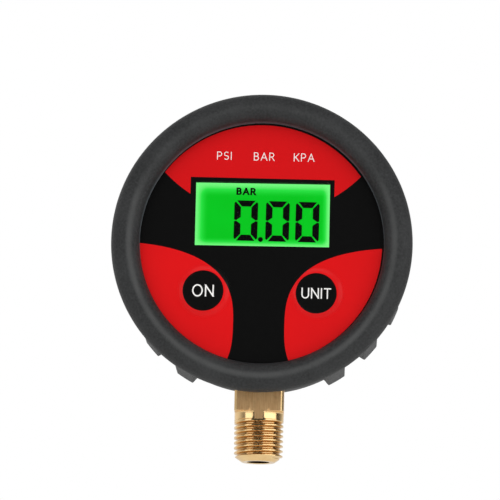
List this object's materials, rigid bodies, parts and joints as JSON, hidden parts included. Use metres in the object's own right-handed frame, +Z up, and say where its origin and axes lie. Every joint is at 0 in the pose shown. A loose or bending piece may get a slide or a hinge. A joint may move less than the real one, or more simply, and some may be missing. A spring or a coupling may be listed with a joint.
{
  "type": "digital pressure gauge",
  "caption": "Round digital pressure gauge in a ribbed rubber boot, with a lit display, press keys and a square brass bottom stem with a pipe thread.",
  "frame": {"origin": "on the stem axis, at the shoulder under the wrench square where the thread begins", "axes": "+Z up along the stem towards the dial, the face looks along -Y, +X to the viewer's right"},
  "size_m": [0.0798, 0.0318, 0.0969],
  "materials": {
    "boot_rubber": "moulded, matt with a faint sheen",
    "case_plastic": "fine spark texture",
    "printed_film": "reverse-printed polyester, satin",
    "window_pane": "clear, polished",
    "display_glass": "lit green",
    "light_guide": "clear acrylic",
    "led_resin": "cast",
    "contact_rubber": "cut silicone",
    "frame_plastic": "moulded",
    "board": "solder mask",
    "resin": "cast drop",
    "key_film": "reverse-printed polyester, embossed",
    "plunger_plastic": "moulded",
    "switch_plastic": "moulded",
    "brass": "turned and milled, bright",
    "seal_rubber": "moulded",
    "ceramic": "ground",
    "ribbon": "polyimide film",
    "cell_jacket": "plain jacket",
    "nickel": "nickel plated",
    "screw_steel": "zinc plated"
  },
  "bodies": {
    "gauge": {"rubber_boot": "boot_rubber", "rear_case": "case_plastic", "front_panel": "case_plastic", "face_film": "printed_film", "display_window": "window_pane", "display_glass": "display_glass", "light_guide": "light_guide", "backlight_leds": "led_resin", "contact_rubber": "contact_rubber", "display_frame": "frame_plastic", "circuit_board": "board", "controller_chip": "resin", "on_switch_body": "switch_plastic", "unit_switch_body": "switch_plastic", "brass_stem": "brass", "sensor_seal": "seal_rubber", "pressure_sensor": "ceramic", "sensor_retainer": "brass", "sensor_ribbon": "ribbon", "upper_cell": "cell_jacket", "lower_cell": "cell_jacket", "bridge_contact": "nickel", "positive_contact": "nickel", "negative_contact": "nickel", "upper_cell_spring": "nickel", "lower_cell_spring": "nickel", "battery_door": "case_plastic", "door_screw": "screw_steel", "case_screws": "screw_steel", "stem_screws": "screw_steel", "board_screws": "screw_steel"},
    "on_button": {"on_key": "key_film", "on_key_plunger": "plunger_plastic", "on_switch_stem": "plunger_plastic"},
    "unit_button": {"unit_key": "key_film", "unit_key_plunger": "plunger_plastic", "unit_switch_stem": "plunger_plastic"}
  },
  "joints": [
    {"name": "on_key_press", "type": "slide", "parent": "gauge", "child": "on_button", "axis": [0, 1, 0], "range_m": [0, 0.0004], "stiffness_N_per_m": 4000},
    {"name": "unit_key_press", "type": "slide", "parent": "gauge", "child": "unit_button", "axis": [0, 1, 0], "range_m": [0, 0.0004], "stiffness_N_per_m": 4000}
  ]
}
